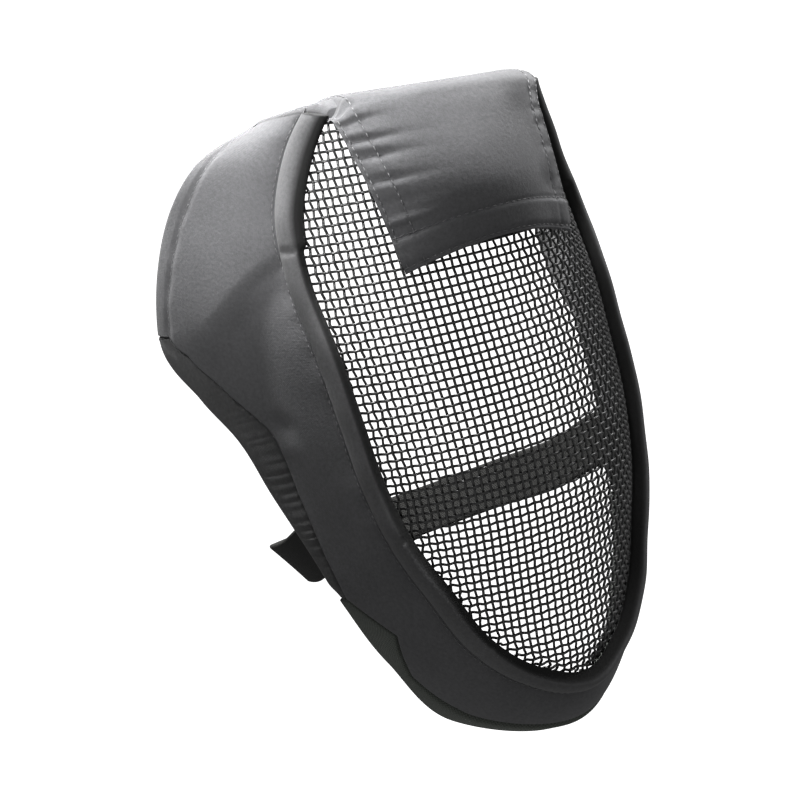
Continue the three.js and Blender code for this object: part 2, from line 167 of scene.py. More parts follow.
shellForm = {
    "thickness": 4.0,
    "bulgePower": (0.95, 0.7),  # at the seam and at the rear edge
    "seamDip": 0.7,
    "seamFade": 1.3,
    "hemDip": 0.75,
    "hemHalfWidth": 1.9,
    "hemEnds": (2.9, 3.2),  # rows over which the hem fades out
    "valleySpread": (0.2, 0.22),  # behind its bottom and in front of it
    "valleyRows": (2.4, 2.95),  # rows over which it opens at the seam, under the crease
    "valleySlant": 1.1,  # and how many rows lower it opens at the rear edge
}


def shellChord(station, share):
    return blend(seam(station), pointOf(rear, station), share[..., None])


def shellWidth(station):
    return np.linalg.norm(pointOf(rear, station) - seam(station), axis=-1)


def shellRelief(station, share):  # how far the padding stands over a flat span
    form = shellForm
    width = shellWidth(station)
    power = blend(*form["bulgePower"], share)
    arch = np.maximum(0, 4 * share * (1 - share)) ** power
    offset = share - column(rear, "valleyAt", station)
    spread = np.where(offset > 0, *form["valleySpread"])
    valley = column(rear, "valley", station) * np.exp(-(offset / spread) ** 2)
    valley = valley * smoothstep(rowOf(station) - form["valleySlant"] * share, *form["valleyRows"])
    hem = form["hemDip"] * fade(rowOf(station), *form["hemEnds"])
    hem = hem * hump((1 - share) * width, column(rear, "hem", station), form["hemHalfWidth"])
    groove = form["seamDip"] * np.exp(-share * width / form["seamFade"])
    return column(rear, "bulge", station) * arch - valley - hem - groove


def shellSurface(station, share):
    return raised(shellChord, station, share, shellRelief(station, share))


def onShell(station, back, height):  # `back` millimetres in from the rear edge
    return raised(shellSurface, station, 1 - back / shellWidth(station), height)


def insetAt(station):
    return np.interp(rowOf(station), inset["at"], inset["gap"])


def trimChord(station, share):
    return blend(lip(station), seam(station), share[..., None])


def onTrim(station, share, height):
    middle = np.full_like(station, 0.5)
    normal = outwardOf(trimChord, station, middle)
    return trimChord(station, share) + normal * np.asarray(height)[..., None]


screenForm = {
    "arc": math.radians(60),  # half angle of the arc across the screen
    "depth": 4.2,  # middle of the wires under the lip
    "pitch": 3.54,
    "radius": 0.6,  # of a wire
    "lift": 0.57,  # how far a wire rises and sinks as it passes the others
    "topRow": 0.25,
    "underTrim": 0.6,  # share of the trim's width that the wires run on under it
    "inward": 0.985,  # a place just inside the lip, where the dome still has its own slope
    "sides": 6,
    "smoothness": 2,
    "sectionSteps": 60,
    "rowSteps": 2000,
    "firstWeft": 0.5,  # half steps from the top, and left free at the chin
    "lastWeft": 0.2,
    "beyondLip": 16,  # half steps tried on past the lip
    "insideLip": 0.1,
    "lowLevels": 8,  # more levels under the last weft, where the warps run out
    "lowSpacing": 0.6,
    "shortest": 3,  # a wire with fewer places inside the lip is left out
}
denseSteps = 1100  # along one side of the rim
denseRows = np.linspace(0, chin, denseSteps + 1)
denseHeights = column(rim, "z", denseRows)
denseStations = np.linspace(0, lastStation, 2 * denseSteps + 1)
denseLip = lip(denseStations)[:, (0, 2)]


def rowAtHeight(z):
    return np.interp(-np.asarray(z), -denseHeights, denseRows)


def domeDepth(x, z):  # each level section is an arc from lip to lip
    row = rowAtHeight(z)
    edgePoint = lip(row)
    share = np.minimum(1, np.abs(x) / np.maximum(0.01, np.abs(edgePoint[..., 0])))
    flat = math.cos(screenForm["arc"])
    rise = (np.sqrt(1 - (share * math.sin(screenForm["arc"])) ** 2) - flat) / (1 - flat)
    return blend(edgePoint[..., 1], column(rim, "front", row), rise)


def domePoint(x, z):
    return np.stack([x, domeDepth(x, z), z], -1)


def domeNormal(x, z):
    step = 0.5  # millimetres
    slopeX = (domeDepth(x + step, z) - domeDepth(x - step, z)) / (2 * step)
    slopeZ = (domeDepth(x, z + step) - domeDepth(x, z - step)) / (2 * step)
    return unit(np.stack([slopeX, -np.ones_like(slopeX), slopeZ], -1))


def settled(points):  # the tilt of the crown, then metres
    points = np.array(points, float)
    height = np.maximum(points[..., 2], 0)
    points[..., 2] -= height * points[..., 0] * askew
    return points * millimetre


def linked(name, data):
    made = bpy.data.objects.new(name, data)
    bpy.context.scene.collection.objects.link(made)
    return made


def newPiece(name, points, edges=(), faces=()):
    mesh = bpy.data.meshes.new(name)
    mesh.from_pydata(points.reshape(-1, 3).tolist(), edges, faces)
    return linked(name, mesh)


def wall(name, lines):  # a closed skin through lines of points, with a UV map in metres
    points = settled(np.stack(lines, 1))
    rows, around = points.shape[:2]
    i, j = np.meshgrid(np.arange(rows - 1), np.arange(around), indexing="ij")
    after = (j + 1) % around
    corners = np.stack([i * around + j, i * around + after,
                        (i + 1) * around + after, (i + 1) * around + j], -1).reshape(-1, 4)
    faces = corners.tolist()
    last = (rows - 1) * around
    for k in range((around - 1) // 2):  # the two ends
        cap = [k, k + 1, around - 2 - k, around - 1 - k]
        if cap[1] == cap[2]:
            cap.pop(1)
        faces += [cap[::-1], [last + corner for corner in cap]]
    piece = newPiece(name, points, faces=faces)
    middle = points[rows // 2]
    run, turn = runAlong(points[:, around // 2]), runAlong(np.concatenate([middle, middle[:1]]))
    uv = np.zeros((len(piece.data.loops), 2), np.float32)
    side = np.stack([run[i], turn[j], run[i], turn[j + 1], run[i + 1], turn[j + 1],
                     run[i + 1], turn[j]], -1).reshape(-1, 2)
    uv[:len(side)] = side
    piece.data.uv_layers.new(name="Cloth").data.foreach_set("uv", uv.ravel())
    piece.data.shade_smooth()
    outwardFaces(piece)
    return piece


def setAttribute(piece, name, values, kind="FLOAT"):  # one for each point, or for each section
    layer = piece.data.attributes.new(name, kind, "POINT")
    values = np.asarray(values, np.float32)
    if kind == "FLOAT_VECTOR":
        layer.data.foreach_set("vector", values.ravel())
    else:
        layer.data.foreach_set("value", np.repeat(values.ravel(), len(layer.data) // values.size))


def outwardFaces(piece):
    mesh = piece.data
    corners = np.zeros(len(mesh.vertices) * 3)
    mesh.vertices.foreach_get("co", corners)
    corners = corners.reshape(-1, 3)
    mesh.calc_loop_triangles()
    triangles = np.zeros(len(mesh.loop_triangles) * 3, int)
    mesh.loop_triangles.foreach_get("vertices", triangles)
    a, b, c = (corners[triangles.reshape(-1, 3)[:, k]] for k in range(3))
    if (a * np.cross(b, c)).sum() < 0:
        mesh.flip_normals()


def operator(name, reflected=False):
    return lambda self, other: self.math(name, *((other, self) if reflected else (self, other)))


class Wire:  # a socket that can be added, scaled and so on
    __add__ = __radd__ = operator("ADD")
    __mul__ = __rmul__ = operator("MULTIPLY")
    __sub__, __rsub__ = operator("SUBTRACT"), operator("SUBTRACT", reflected=True)
    __truediv__, __rtruediv__ = operator("DIVIDE"), operator("DIVIDE", reflected=True)
    __pow__, __rpow__ = operator("POWER"), operator("POWER", reflected=True)

    def __init__(self, tree, socket):
        self.tree, self.socket = tree, socket

    def math(self, operation, *values):
        return self.tree.node("ShaderNodeMath", values, operation=operation)["Value"]

    def sine(self):
        return self.math("SINE", self)


class Outputs:
    def __init__(self, tree, node):
        self.tree, self.made = tree, node

    def __getitem__(self, name):
        return Wire(self.tree, self.made.outputs[name])


class Tree:
    def __init__(self, nodeTree):
        self.nodeTree = nodeTree

    def fill(self, made, values):  # links or plain values for a node's sockets
        pairs = values.items() if isinstance(values, dict) else enumerate(values)
        for name, value in pairs:
            if isinstance(value, Wire):
                self.nodeTree.links.new(value.socket, made.inputs[name])
            else:
                made.inputs[name].default_value = value

    def node(self, kind, values=(), **settings):
        made = self.nodeTree.nodes.new(kind)
        for name, setting in settings.items():
            setattr(made, name, setting)
        self.fill(made, values)
        return Outputs(self, made)

    def attribute(self, name, kind="FLOAT"):
        return self.node("GeometryNodeInputNamedAttribute", {"Name": name},
                         data_type=kind)["Attribute"]

    def noise(self, place, scale, detail, roughness=0.5):
        return self.node("ShaderNodeTexNoise", {
            "Vector": place, "Scale": scale, "Detail": detail, "Roughness": roughness})["Fac"]

    def scaled(self, vector, factor):
        return self.node("ShaderNodeVectorMath", {0: vector, "Scale": factor},
                         operation="SCALE")["Vector"]

    def mixed(self, factor, first, second):
        return self.node("ShaderNodeMix", {0: factor, 6: first, 7: second}, data_type="RGBA")[2]

    def bumped(self, height, distance, **under):
        values = {"Height": height, "Distance": distance, **under}
        return self.node("ShaderNodeBump", values)["Normal"]


def geometryTree(name, numbers, counts=()):
    group = bpy.data.node_groups.new(name, "GeometryNodeTree")
    kinds = {"Geometry": "Geometry", **dict.fromkeys(numbers, "Float"),
             **dict.fromkeys(counts, "Int"), "Material": "Material"}
    for label, kind in kinds.items():
        group.interface.new_socket(label, in_out="INPUT", socket_type="NodeSocket" + kind)
    group.interface.new_socket("Geometry", in_out="OUTPUT", socket_type="NodeSocketGeometry")
    tree = Tree(group)
    return tree, tree.node("NodeGroupInput")


def endTree(tree, geometry, material):
    real = tree.node("GeometryNodeRealizeInstances", {"Geometry": geometry})["Geometry"]
    real = tree.node("GeometryNodeSetShadeSmooth", {"Geometry": real})["Geometry"]
    dressed = tree.node("GeometryNodeSetMaterial", {"Geometry": real, "Material": material})
    tree.node("NodeGroupOutput", {"Geometry": dressed["Geometry"]})


def runTree(piece, tree, look, material):  # the result becomes the piece's plain mesh
    modifier = piece.modifiers.new(tree.nodeTree.name, "NODES")
    modifier.node_group = tree.nodeTree
    for item in tree.nodeTree.interface.items_tree:
        if item.in_out == "INPUT" and item.name == "Material":
            modifier[item.identifier] = materials[material]
        elif item.in_out == "INPUT" and item.name != "Geometry":
            isLength = item.name in ("Pitch", "Length", "Radius", "Depth", "Lift")
            modifier[item.identifier] = look[item.name.lower()] * (millimetre if isLength else 1)
    graph = bpy.context.evaluated_depsgraph_get()
    mesh = bpy.data.meshes.new_from_object(piece.evaluated_get(graph))
    piece.modifiers.remove(modifier)
    piece.data = mesh
    print(f"{piece.name}: {tree.nodeTree.name}, {len(mesh.polygons)} faces")


def wireTree():  # round wires along polylines that carry `face` and `weave`
    tree, given = geometryTree("woven wires", ("Radius", "Lift"), ("Sides", "Smoothness"))
    line = tree.node("GeometryNodeMeshToCurve", {"Mesh": given["Geometry"]})["Curve"]
    rise = tree.attribute("weave") * given["Lift"]
    offset = tree.scaled(tree.attribute("face", "FLOAT_VECTOR"), rise)
    line = tree.node("GeometryNodeSetPosition", {"Geometry": line, "Offset": offset})["Geometry"]
    line = tree.node("GeometryNodeCurveSplineType", {"Curve": line}, spline_type="CATMULL_ROM")
    line = tree.node("GeometryNodeSetSplineResolution",
                     {"Geometry": line["Curve"], "Resolution": given["Smoothness"]})["Geometry"]
    ring = tree.node("GeometryNodeCurvePrimitiveCircle",
                     {"Resolution": given["Sides"], "Radius": given["Radius"]})["Curve"]
    tube = tree.node("GeometryNodeCurveToMesh",
                     {"Curve": line, "Profile Curve": ring, "Fill Caps": True})["Mesh"]
    endTree(tree, tube, given["Material"])
    return tree


def stitchTree():  # short thread runs, one for each step along a line
    tree, given = geometryTree("stitches", ("Pitch", "Length", "Radius", "Wander"), ("Seed",))
    line = tree.node("GeometryNodeMeshToCurve", {"Mesh": given["Geometry"]})["Curve"]
    spots = tree.node("GeometryNodeCurveToPoints", {"Curve": line, "Length": given["Pitch"]},
                      mode="LENGTH")
    ball = tree.node("GeometryNodeMeshIcoSphere", {"Radius": 1.0, "Subdivisions": 2})["Mesh"]
    size = tree.node("ShaderNodeCombineXYZ",
                     {"X": given["Radius"], "Y": given["Radius"], "Z": given["Length"] * 0.5})
    thread = tree.node("GeometryNodeTransform", {"Geometry": ball, "Scale": size["Vector"]})
    tilt = tree.node("FunctionNodeRandomValue", {"Min": (-1, -1, -1), "Max": (1, 1, 1),
                                                 "Seed": given["Seed"]}, data_type="FLOAT_VECTOR")
    turn = tree.node("FunctionNodeEulerToRotation",
                     {"Euler": tree.scaled(tilt["Value"], given["Wander"])})
    facing = tree.node("FunctionNodeRotateRotation", {
        "Rotation": spots["Rotation"], "Rotate By": turn["Rotation"]}, rotation_space="LOCAL")
    placed = tree.node("GeometryNodeInstanceOnPoints", {
        "Points": spots["Points"], "Instance": thread["Geometry"],
        "Rotation": facing["Rotation"]})["Instances"]
    endTree(tree, placed, given["Material"])
    return tree


gatherNoise = {
    "shiftScale": 90.0, "stretch": 1.7, "depthScale": 140.0, "deepest": 1.6, "least": 0.2,
}


def gatherTree():  # little folds across a row of stitches: `run` along it, `grip` how strong
    tree, given = geometryTree("gathers", ("Pitch", "Depth", "Wander", "Sharpness", "Seed"))
    run = tree.attribute("run")
    place = tree.node("ShaderNodeCombineXYZ", {"X": run, "Y": given["Seed"], "Z": 0.0})["Vector"]
    noise = tree.noise(place, gatherNoise["shiftScale"], 1)
    strength = tree.noise(tree.scaled(place, gatherNoise["stretch"]), gatherNoise["depthScale"], 0)
    phase = (run / given["Pitch"] + (noise - 0.5) * given["Wander"]) * (2 * math.pi)
    fold = (phase.sine() * 0.5 + 0.5) ** given["Sharpness"]
    fold = fold * (strength * gatherNoise["deepest"] + gatherNoise["least"])
    normal = tree.node("GeometryNodeInputNormal")["Normal"]
    offset = tree.scaled(normal, fold * tree.attribute("grip") * given["Depth"] * -1)
    moved = tree.node("GeometryNodeSetPosition",
                      {"Geometry": given["Geometry"], "Offset": offset})["Geometry"]
    endTree(tree, moved, given["Material"])
    return tree


def newMaterial(name):
    material = bpy.data.materials.new(name)
    material.use_nodes = True
    tree = Tree(material.node_tree)
    shader = material.node_tree.nodes["Principled BSDF"]
    return material, tree, shader


def clothMaterial(name, look):
    # plain woven cloth: crossed threads as fine bump, soft uneven nap, a little worn shade
    material, tree, shader = newMaterial(name)
    uv = tree.node("ShaderNodeUVMap", uv_map="Cloth")["UV"]
    place = tree.node("ShaderNodeTexCoord")["Object"]
    axes = tree.node("ShaderNodeSeparateXYZ", {"Vector": uv})
    turns = 2 * math.pi / look["thread"]
    warp, weft = (axes["X"] * turns).sine(), (axes["Y"] * turns).sine()
    weave = warp * weft * 0.5 + 0.5
    nap = tree.noise(place, look["napScale"], 3, look["napRoughness"])
    patches = tree.noise(place, look["patchScale"], 2)
    shade = nap * look["napShade"] + patches * look["patchShade"] + weave * look["weaveShade"]
    dark = (*[channel * look["darkest"] for channel in look["colour"]], 1)
    light = (*[min(1, channel * look["palest"]) for channel in look["colour"]], 1)
    total = look["napShade"] + look["patchShade"] + look["weaveShade"]
    colour = tree.mixed(shade / total, dark, light)
    # the attribute read here mixes in a dark colour: black edge tape on the trim's inner side, and
    # painted shade in the trim's recess, at the ends under the crown and along the crown's seams
    if "tape" in look:
        taped = tree.node("ShaderNodeAttribute", attribute_name="tape")["Fac"]
        colour = tree.mixed(taped, colour, (*look["tape"], 1))
    normal = tree.bumped(nap, look["napDepth"], Normal=tree.bumped(weave, look["weaveDepth"]))
    tree.fill(shader, {
        "Base Color": colour, "Normal": normal, "Roughness": look["roughness"],
        "Specular IOR Level": look["specular"], "Sheen Weight": look["sheen"],
        "Sheen Roughness": look["sheenRoughness"], "Sheen Tint": (*look["sheenTint"], 1)})
    return material


clothLook = {  # thread and depths in metres
    "colour": (0.07, 0.07, 0.0725), "darkest": 0.45, "palest": 1.6,
    "thread": 0.0007, "weaveShade": 0.15, "weaveDepth": 0.00003,
    "napScale": 640.0, "napRoughness": 0.65, "napShade": 1.0, "napDepth": 0.00017,
    "patchScale": 38.0, "patchShade": 0.6,
    "roughness": 0.94, "specular": 0.12,
    "sheen": 0.06, "sheenRoughness": 0.55, "sheenTint": (0.9, 0.9, 0.9),
}
cloths = {
    # the dark colours below are mixed in as painted shade at the ends and seams under the crown,
    # and on the trim's inner side as black edge tape with painted shade
    "shell cloth": {"tape": (0.014, 0.014, 0.014)},
    "trim cloth": {"colour": (0.067, 0.067, 0.0685), "tape": (0.012, 0.012, 0.012)},
    "crown cloth": {"tape": (0.012, 0.012, 0.012)},
    "flap cloth": {},
    "binding cloth": {"colour": (0.06, 0.06, 0.0605), "thread": 0.0009, "weaveDepth": 0.0001},
    "liner knit": {"colour": (0.07, 0.076, 0.068), "thread": 0.0016, "weaveDepth": 0.0003,
                   "weaveShade": 1.2, "napScale": 500.0},
    "webbing": {"colour": (0.005, 0.005, 0.0045), "thread": 0.0013, "weaveDepth": 0.0003,
                "weaveShade": 1.0, "sheen": 0.0, "specular": 0.25},
    "sewing thread": {"colour": (0.088, 0.088, 0.091), "sheen": 0.1, "specular": 0.5,
                      "roughness": 0.55},
}
materials = {name: clothMaterial(name, {**clothLook, **look}) for name, look in cloths.items()}


def wireMaterial(look):
    # enamelled steel: near black, worn to a duller grey in scattered patches
    material, tree, shader = newMaterial("screen wire")
    place = tree.node("ShaderNodeTexCoord")["Object"]
    grain = tree.noise(place, look["grainScale"], 2)
    dark, light = (*look["colour"], 1), (*look["worn"], 1)
    tree.fill(shader, {
        "Base Color": tree.mixed(grain ** look["wearSharpness"], dark, light),
        "Roughness": grain * look["roughnessSpread"] + look["roughness"],
        "Normal": tree.bumped(grain, look["grainDepth"]), "Specular IOR Level": look["specular"]})
    return material


materials["screen wire"] = wireMaterial({
    "colour": (0.012, 0.012, 0.012), "worn": (0.05, 0.05, 0.052), "wearSharpness": 3,
    "grainScale": 700.0, "grainDepth": 0.00004,
    "roughness": 0.34, "roughnessSpread": 0.16, "specular": 0.65,
})
trees = {"wire": wireTree(), "stitch": stitchTree(), "gather": gatherTree()}
print("materials and node trees made")


def dress(piece, material, slot, *nodes):
    if not piece.data.materials:
        piece.data.materials.append(materials[material])
    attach(piece, "root")
    if nodes:
        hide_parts(*nodes)


def rounded(piece):
    smooth = piece.modifiers.new("round", "SUBSURF")
    smooth.levels = smooth.render_levels = 1


def stitchRow(name, lines, look, slot):  # lines of points in millimetres
    points, edges = [], []
    for line in lines:
        line = settled(line)
        edges += [(len(points) + k, len(points) + k + 1) for k in range(len(line) - 1)]
        points += line.tolist()
    piece = newPiece(name, np.array(points), edges=edges)
    runTree(piece, trees["stitch"], look, "sewing thread")
    dress(piece, "sewing thread", slot)


stitchLook = {"pitch": 3.0, "length": 2.0, "radius": 0.21, "wander": 0.1, "seed": 4}

shellCloth = {
    "girthSteps": 540, "acrossSteps": 46, "innerSteps": 18,
    "cornerRows": (2.855, 2.965, 12),  # extra sections where the rear edge steps in
    "steady": 0.62,  # share of the way to the rear edge over which the sections stay evenly spread
    "edgeRoom": 4,  # and they stop this far from the edge at the least
    "edgeTurns": 6,  # points round the rolled edge
    "under": 0.6,  # the front edge runs in under the trim
    "darkEnd": 0.08,  # rows at the crown where the ends are darkened with painted shade, as they run in under the crown panel
    "rowLength": 31.0,  # of girth, on average
    "puckers": (0.22, 3.1, 2.2, 17), "puckerFade": 4.5,  # along the seam, as in `waves`
    "hemWaves": (0.18, 2.6, 2, 11), "hemHalf": 3.4, "hemRows": (2.8, 3.1),
    "dents": ((0.7, 5.2, 0.25, 25), (-1.3, 4.85, 0.2, 30)),  # rise, row, half its rows, mm in
    "dentHalf": 8,
    "kink": {"depth": 1.0, "row": 2.68, "slant": 0.012, "halfRows": 0.09, "fromSeam": 9, "half": 9},
    "uneven": 0.35, "unevenFrom": (2, 14), "unevenLength": 60, "unevenSeed": 3,
}
crossedWaves = {"count": 7, "longest": 0.6, "shorter": 0.25, "weaker": 0.35, "loud": 3}


def softNoise(seed, points, length):  # a few crossed waves, the same on every run
    look, maker = crossedWaves, np.random.default_rng(seed)
    total = np.zeros(points.shape[:-1])
    for k in range(look["count"]):
        direction = unit(maker.normal(size=3)) * (look["longest"] + look["shorter"] * k) / length
        phase = points @ direction * 2 * math.pi + maker.uniform(0, 6.3)
        total += np.sin(phase) / (1 + look["weaker"] * k)
    return total / look["loud"]


def waves(run, height, length, drift=0, driftLength=1):  # uneven ripples along an edge
    return height * np.sin(run / length + drift * np.sin(run / driftLength))


def shellDetail(station, back):  # what the cloth does on top of the plain form
    look, kink, row = shellCloth, shellCloth["kink"], rowOf(station)
    width, girth = shellWidth(station), station * look["rowLength"]
    fromSeam = width - back
    rise = waves(girth, *look["puckers"]) * np.exp(-fromSeam / look["puckerFade"])
    atHem = hump(back, column(rear, "hem", station), look["hemHalf"])
    rise += waves(girth, *look["hemWaves"]) * atHem * fade(row, *look["hemRows"])
    for height, at, halfRows, inFrom in look["dents"]:
        rise += height * hump(row, at, halfRows) * hump(back, inFrom, look["dentHalf"])
    kinkRow = kink["row"] + kink["slant"] * fromSeam
    beside = hump(fromSeam, kink["fromSeam"], kink["half"])
    rise -= kink["depth"] * hump(row, kinkRow, kink["halfRows"]) * beside
    place = shellChord(station, 1 - back / width)
    uneven = look["uneven"] * softNoise(look["unevenSeed"], place, look["unevenLength"])
    return rise + uneven * smoothstep(fromSeam, *look["unevenFrom"])


def buildShell():
    look, thickness = shellCloth, shellForm["thickness"]
    corner = np.linspace(*look["cornerRows"])
    station = np.linspace(0, lastStation, look["girthSteps"])
    station = np.sort(np.concatenate([station, corner, lastStation - corner]))
    width, edge = shellWidth(station), insetAt(station)
    radius = thickness / 2
    across = np.linspace(0, 1, look["acrossSteps"])
    across = (across + (1 - np.cos(math.pi * across)) / 2) / 2  # a little closer at both edges
    start, end, steady = width + look["under"], edge + radius, look["steady"]
    halfway = np.maximum(start * (1 - steady), end + look["edgeRoom"])
    outerBack = [blend(start, halfway, t / steady) if t < steady else
                 blend(halfway, end, (t - steady) / (1 - steady)) for t in across]
    rings = [onShell(station, back, shellDetail(station, back)) for back in outerBack]
    for turn in np.linspace(0, math.pi, look["edgeTurns"] + 2)[1:-1]:
        back = edge + radius * (1 - math.sin(turn))
        height = shellDetail(station, outerBack[-1]) * (1 - turn / math.pi)
        rings.append(onShell(station, back, height - radius * (1 - math.cos(turn))))
    for t in np.linspace(1, 0, look["innerSteps"]):
        rings.append(onShell(station, blend(start, end, t), -thickness))
    piece = wall("shell_cloth", rings)
    # painted shade: the shell's ends at the crown are darkened where they run in under it
    ends = fade(rowOf(station), 0, look["darkEnd"])
    setAttribute(piece, "tape", ends)
    dress(piece, "shell cloth", "shell_cloth", "padded_shell")
    print("shell:", len(piece.data.polygons), "faces")


buildShell()

trimRoll = {
    "girthSteps": 620, "rowLength": 28.0,
    "waves": ((0.2, 9, 1.3, 31), (0.08, 4.1)), "wavesFrom": (0, 0.8),  # of its rise
    "creases": (6.85, 9.15, 2.52),  # rows on the right where the roll bends and creases a little
    "creaseDepth": 0.8, "creaseWidth": 0.05,
    "tapeTo": 0.42,  # share of its rise darkened on its inner side: black edge tape, with painted shade of the recess
    "tapeFade": 0.4,
    "tuckRows": (2.4, 2.55),  # above these rows the roll stands clear and more of its inner side is darkened with painted shade
    "tuckTape": 0.15,
    "tuckIn": 0.22,  # and its inner side runs on this share of its width towards the screen
    "tuckFade": (0.1, 0.95),
    "stitches": {"fromSeam": 1.3, "proud": 0.02, "ends": 0.25, "steps": 900},
    # round the roll: share of the way from lip to seam, share of its rise, mm of drop
    "along": (0.22, 0.12, 0.045, 0.03, 0.03, 0.045, 0.08, 0.14, 0.22, 0.32,
              0.44, 0.57, 0.7, 0.82, 0.92, 0.985, 0.99, 0.96, 0.8, 0.5),
    "rise": (0, 0, 0, 0, 0.3, 0.55, 0.76, 0.9, 0.98, 1,
             0.97, 0.88, 0.72, 0.52, 0.3, 0.1, 0, 0, 0, 0),
    "drop": (2.85, 2.85, 2.4, 1, 0, 0, 0, 0, 0, 0, 0, 0, 0, 0, 0, 0.1, 1.2, 2.3, 2.4, 2.6),
}


def buildTrim():
    look, stitches = trimRoll, trimRoll["stitches"]
    station = np.linspace(0, lastStation, look["girthSteps"])
    row, roll = rowOf(station), column(rim, "roll", station)
    crease = sum(hump(station, at, look["creaseWidth"]) for at in look["creases"])
    uneven = sum(waves(station * look["rowLength"], *wave) for wave in look["waves"])
    uneven = uneven - crease * look["creaseDepth"]
    tucked = fade(row, *look["tuckRows"])
    upTo = look["tapeTo"] + look["tuckTape"] * tucked
    # painted shade at the roll's ends, where they run in under the crown
    ends = fade(row, 0, shellCloth["darkEnd"])
    rings, tape = [], []
    for along, rise, drop in zip(look["along"], look["rise"], look["drop"]):
        innerSide = along < 0.5
        inward = look["tuckIn"] * tucked * innerSide * fade(rise, *look["tuckFade"])
        height = rise * roll + uneven * smoothstep(rise, *look["wavesFrom"]) - drop
        rings.append(onTrim(station, along - inward, height))
        # painted shade: the roll's inner side is darkened, partly black edge tape and partly the
        # shade of the recess by the screen, wider where the roll stands clear
        inside = fade(rise, upTo, upTo + look["tapeFade"]) * innerSide
        tape.append(np.maximum(inside, ends))
    piece = wall("trim_roll", rings)
    setAttribute(piece, "tape", np.stack(tape, 1))
    rounded(piece)
    dress(piece, "trim cloth", "trim_cloth", "screen_trim")
    print("trim:", len(piece.data.polygons), "faces")
    line = np.linspace(stitches["ends"], lastStation - stitches["ends"], stitches["steps"])
    fromEdge = shellWidth(line) - stitches["fromSeam"]
    height = shellDetail(line, fromEdge) + stitches["proud"]
    stitchRow("trim_stitches", [onShell(line, fromEdge, height)], stitchLook, "trim_cloth")


buildTrim()


def sectionAt(z):  # one level section of the dome, from the middle to the lip: lengths and x
    row = rowAtHeight(z)
    arc = np.linspace(0, screenForm["arc"], screenForm["sectionSteps"])
    halfWidth = np.abs(lip(row)[0])
    x = halfWidth * np.sin(arc) / math.sin(screenForm["arc"])
    return row, runAlong(domePoint(x, np.full_like(x, z))), x


def weftHeights():  # level rows, half a pitch apart along the dome's middle line
    form = screenForm
    rows = np.linspace(form["topRow"], chin, form["rowSteps"])
    z, y = column(rim, "z", rows), column(rim, "front", rows)
    length = runAlong(np.stack([y, z], -1))
    places = np.arange(form["firstWeft"], length[-1] / (form["pitch"] / 2) - form["lastWeft"])
    return np.interp(places * form["pitch"] / 2, length, z)


def weaveAt(halfSteps, shift):  # over and under by turns at the crossings, level between them
    return np.where(halfSteps % 2, 0, 1 - 2 * ((halfSteps // 2 + shift) % 2))


def wiresAt(x, z, inside):  # places and normals of the wires, and how far they are under the trim
    depth = screenForm["depth"]
    normals = domeNormal(x, z)
    points = domePoint(x, z) - normals * depth
    under = np.zeros(len(x))
    outside = ~inside
    if outside.any():
        gaps = np.linalg.norm(np.stack([x, z], -1)[outside, None] - denseLip, axis=-1)
        stations = denseStations[gaps.argmin(1)]
        share = gaps.min(1) / column(rim, "out", stations)
        place = onTrim(stations, share, 0.0)
        trimNormal = onTrim(stations, share, 1.0) - place
        edge = lip(stations) * screenForm["inward"]
        turned = smoothstep(share, 0, screenForm["underTrim"])[:, None]
        facing = unit(blend(domeNormal(edge[:, 0], edge[:, 2]), trimNormal, turned))
        points[outside] = place - facing * depth
        normals[outside] = facing
        under[outside] = share
    return points, normals, under


def newStore():
    return {"points": [], "face": [], "weave": [], "edges": []}


def addWire(store, x, z, weave, inside):
    points, normals, under = wiresAt(x, z, inside)
    kept = under < screenForm["underTrim"]
    bounds = np.flatnonzero(np.diff(np.concatenate([[0], kept.astype(int), [0]])))
    for first, end in zip(bounds[::2], bounds[1::2]):
        if inside[first:end].sum() < screenForm["shortest"]:
            continue
        start = len(store["points"])
        store["points"] += points[first:end].tolist()
        store["face"] += normals[first:end].tolist()
        store["weave"] += list(weave[first:end])
        store["edges"] += [(start + k, start + k + 1) for k in range(end - first - 1)]


def weftLines(heights, sections):  # from side to side, one at every other level
    store, look, half = newStore(), screenForm, screenForm["pitch"] / 2
    for j in range(0, len(heights), 2):
        row, lengths, xs = sections[j]
        out, back = column(rim, "out", row), column(rim, "back", row)
        reach, slant = lengths[-1], out / np.hypot(out, back)
        last = int(reach / half) + look["beyondLip"]
        steps = np.arange(-last, last + 1)  # half steps: even places are crossings
        run = np.abs(steps) * half
        x = np.sign(steps) * (np.interp(run, lengths, xs) + np.maximum(0, run - reach) * slant)
        inside = run < reach - look["insideLip"]
        addWire(store, x, np.full_like(x, heights[j]), weaveAt(steps, j // 2), inside)
    return store


def warpLines(heights, sections):  # down the screen, each at its own length from the middle
    store, look, half = newStore(), screenForm, screenForm["pitch"] / 2
    low = heights[-1] - np.arange(1, look["lowLevels"] + 1) * half * look["lowSpacing"]
    levels = np.concatenate([heights, low])
    reaches = np.array([lengths[-1] for _, lengths, _ in sections] + [0] * len(low))
    count = int(reaches.max() / look["pitch"])
    for i in range(-count, count + 1):
        run = abs(i) * look["pitch"]
        inside = reaches > run + look["insideLip"]
        if inside.sum() < look["shortest"]:
            continue
        known = [np.interp(run, *sections[k][1:]) for k in np.flatnonzero(inside)]
        x = np.sign(i) * np.interp(-levels, -levels[inside], known)
        addWire(store, x, levels, -weaveAt(np.arange(len(levels)), i), inside)
    return store


def buildScreen():
    heights = weftHeights()
    sections = [sectionAt(z) for z in heights]
    for name, lines in (("screen_wefts", weftLines), ("screen_warps", warpLines)):
        store = lines(heights, sections)
        piece = newPiece(name, settled(store["points"]), edges=store["edges"])
        setAttribute(piece, "face", store["face"], "FLOAT_VECTOR")
        setAttribute(piece, "weave", store["weave"])
        runTree(piece, trees["wire"], screenForm, "screen wire")
        dress(piece, "screen wire", "screen_wire", "wire_screen")


buildScreen()

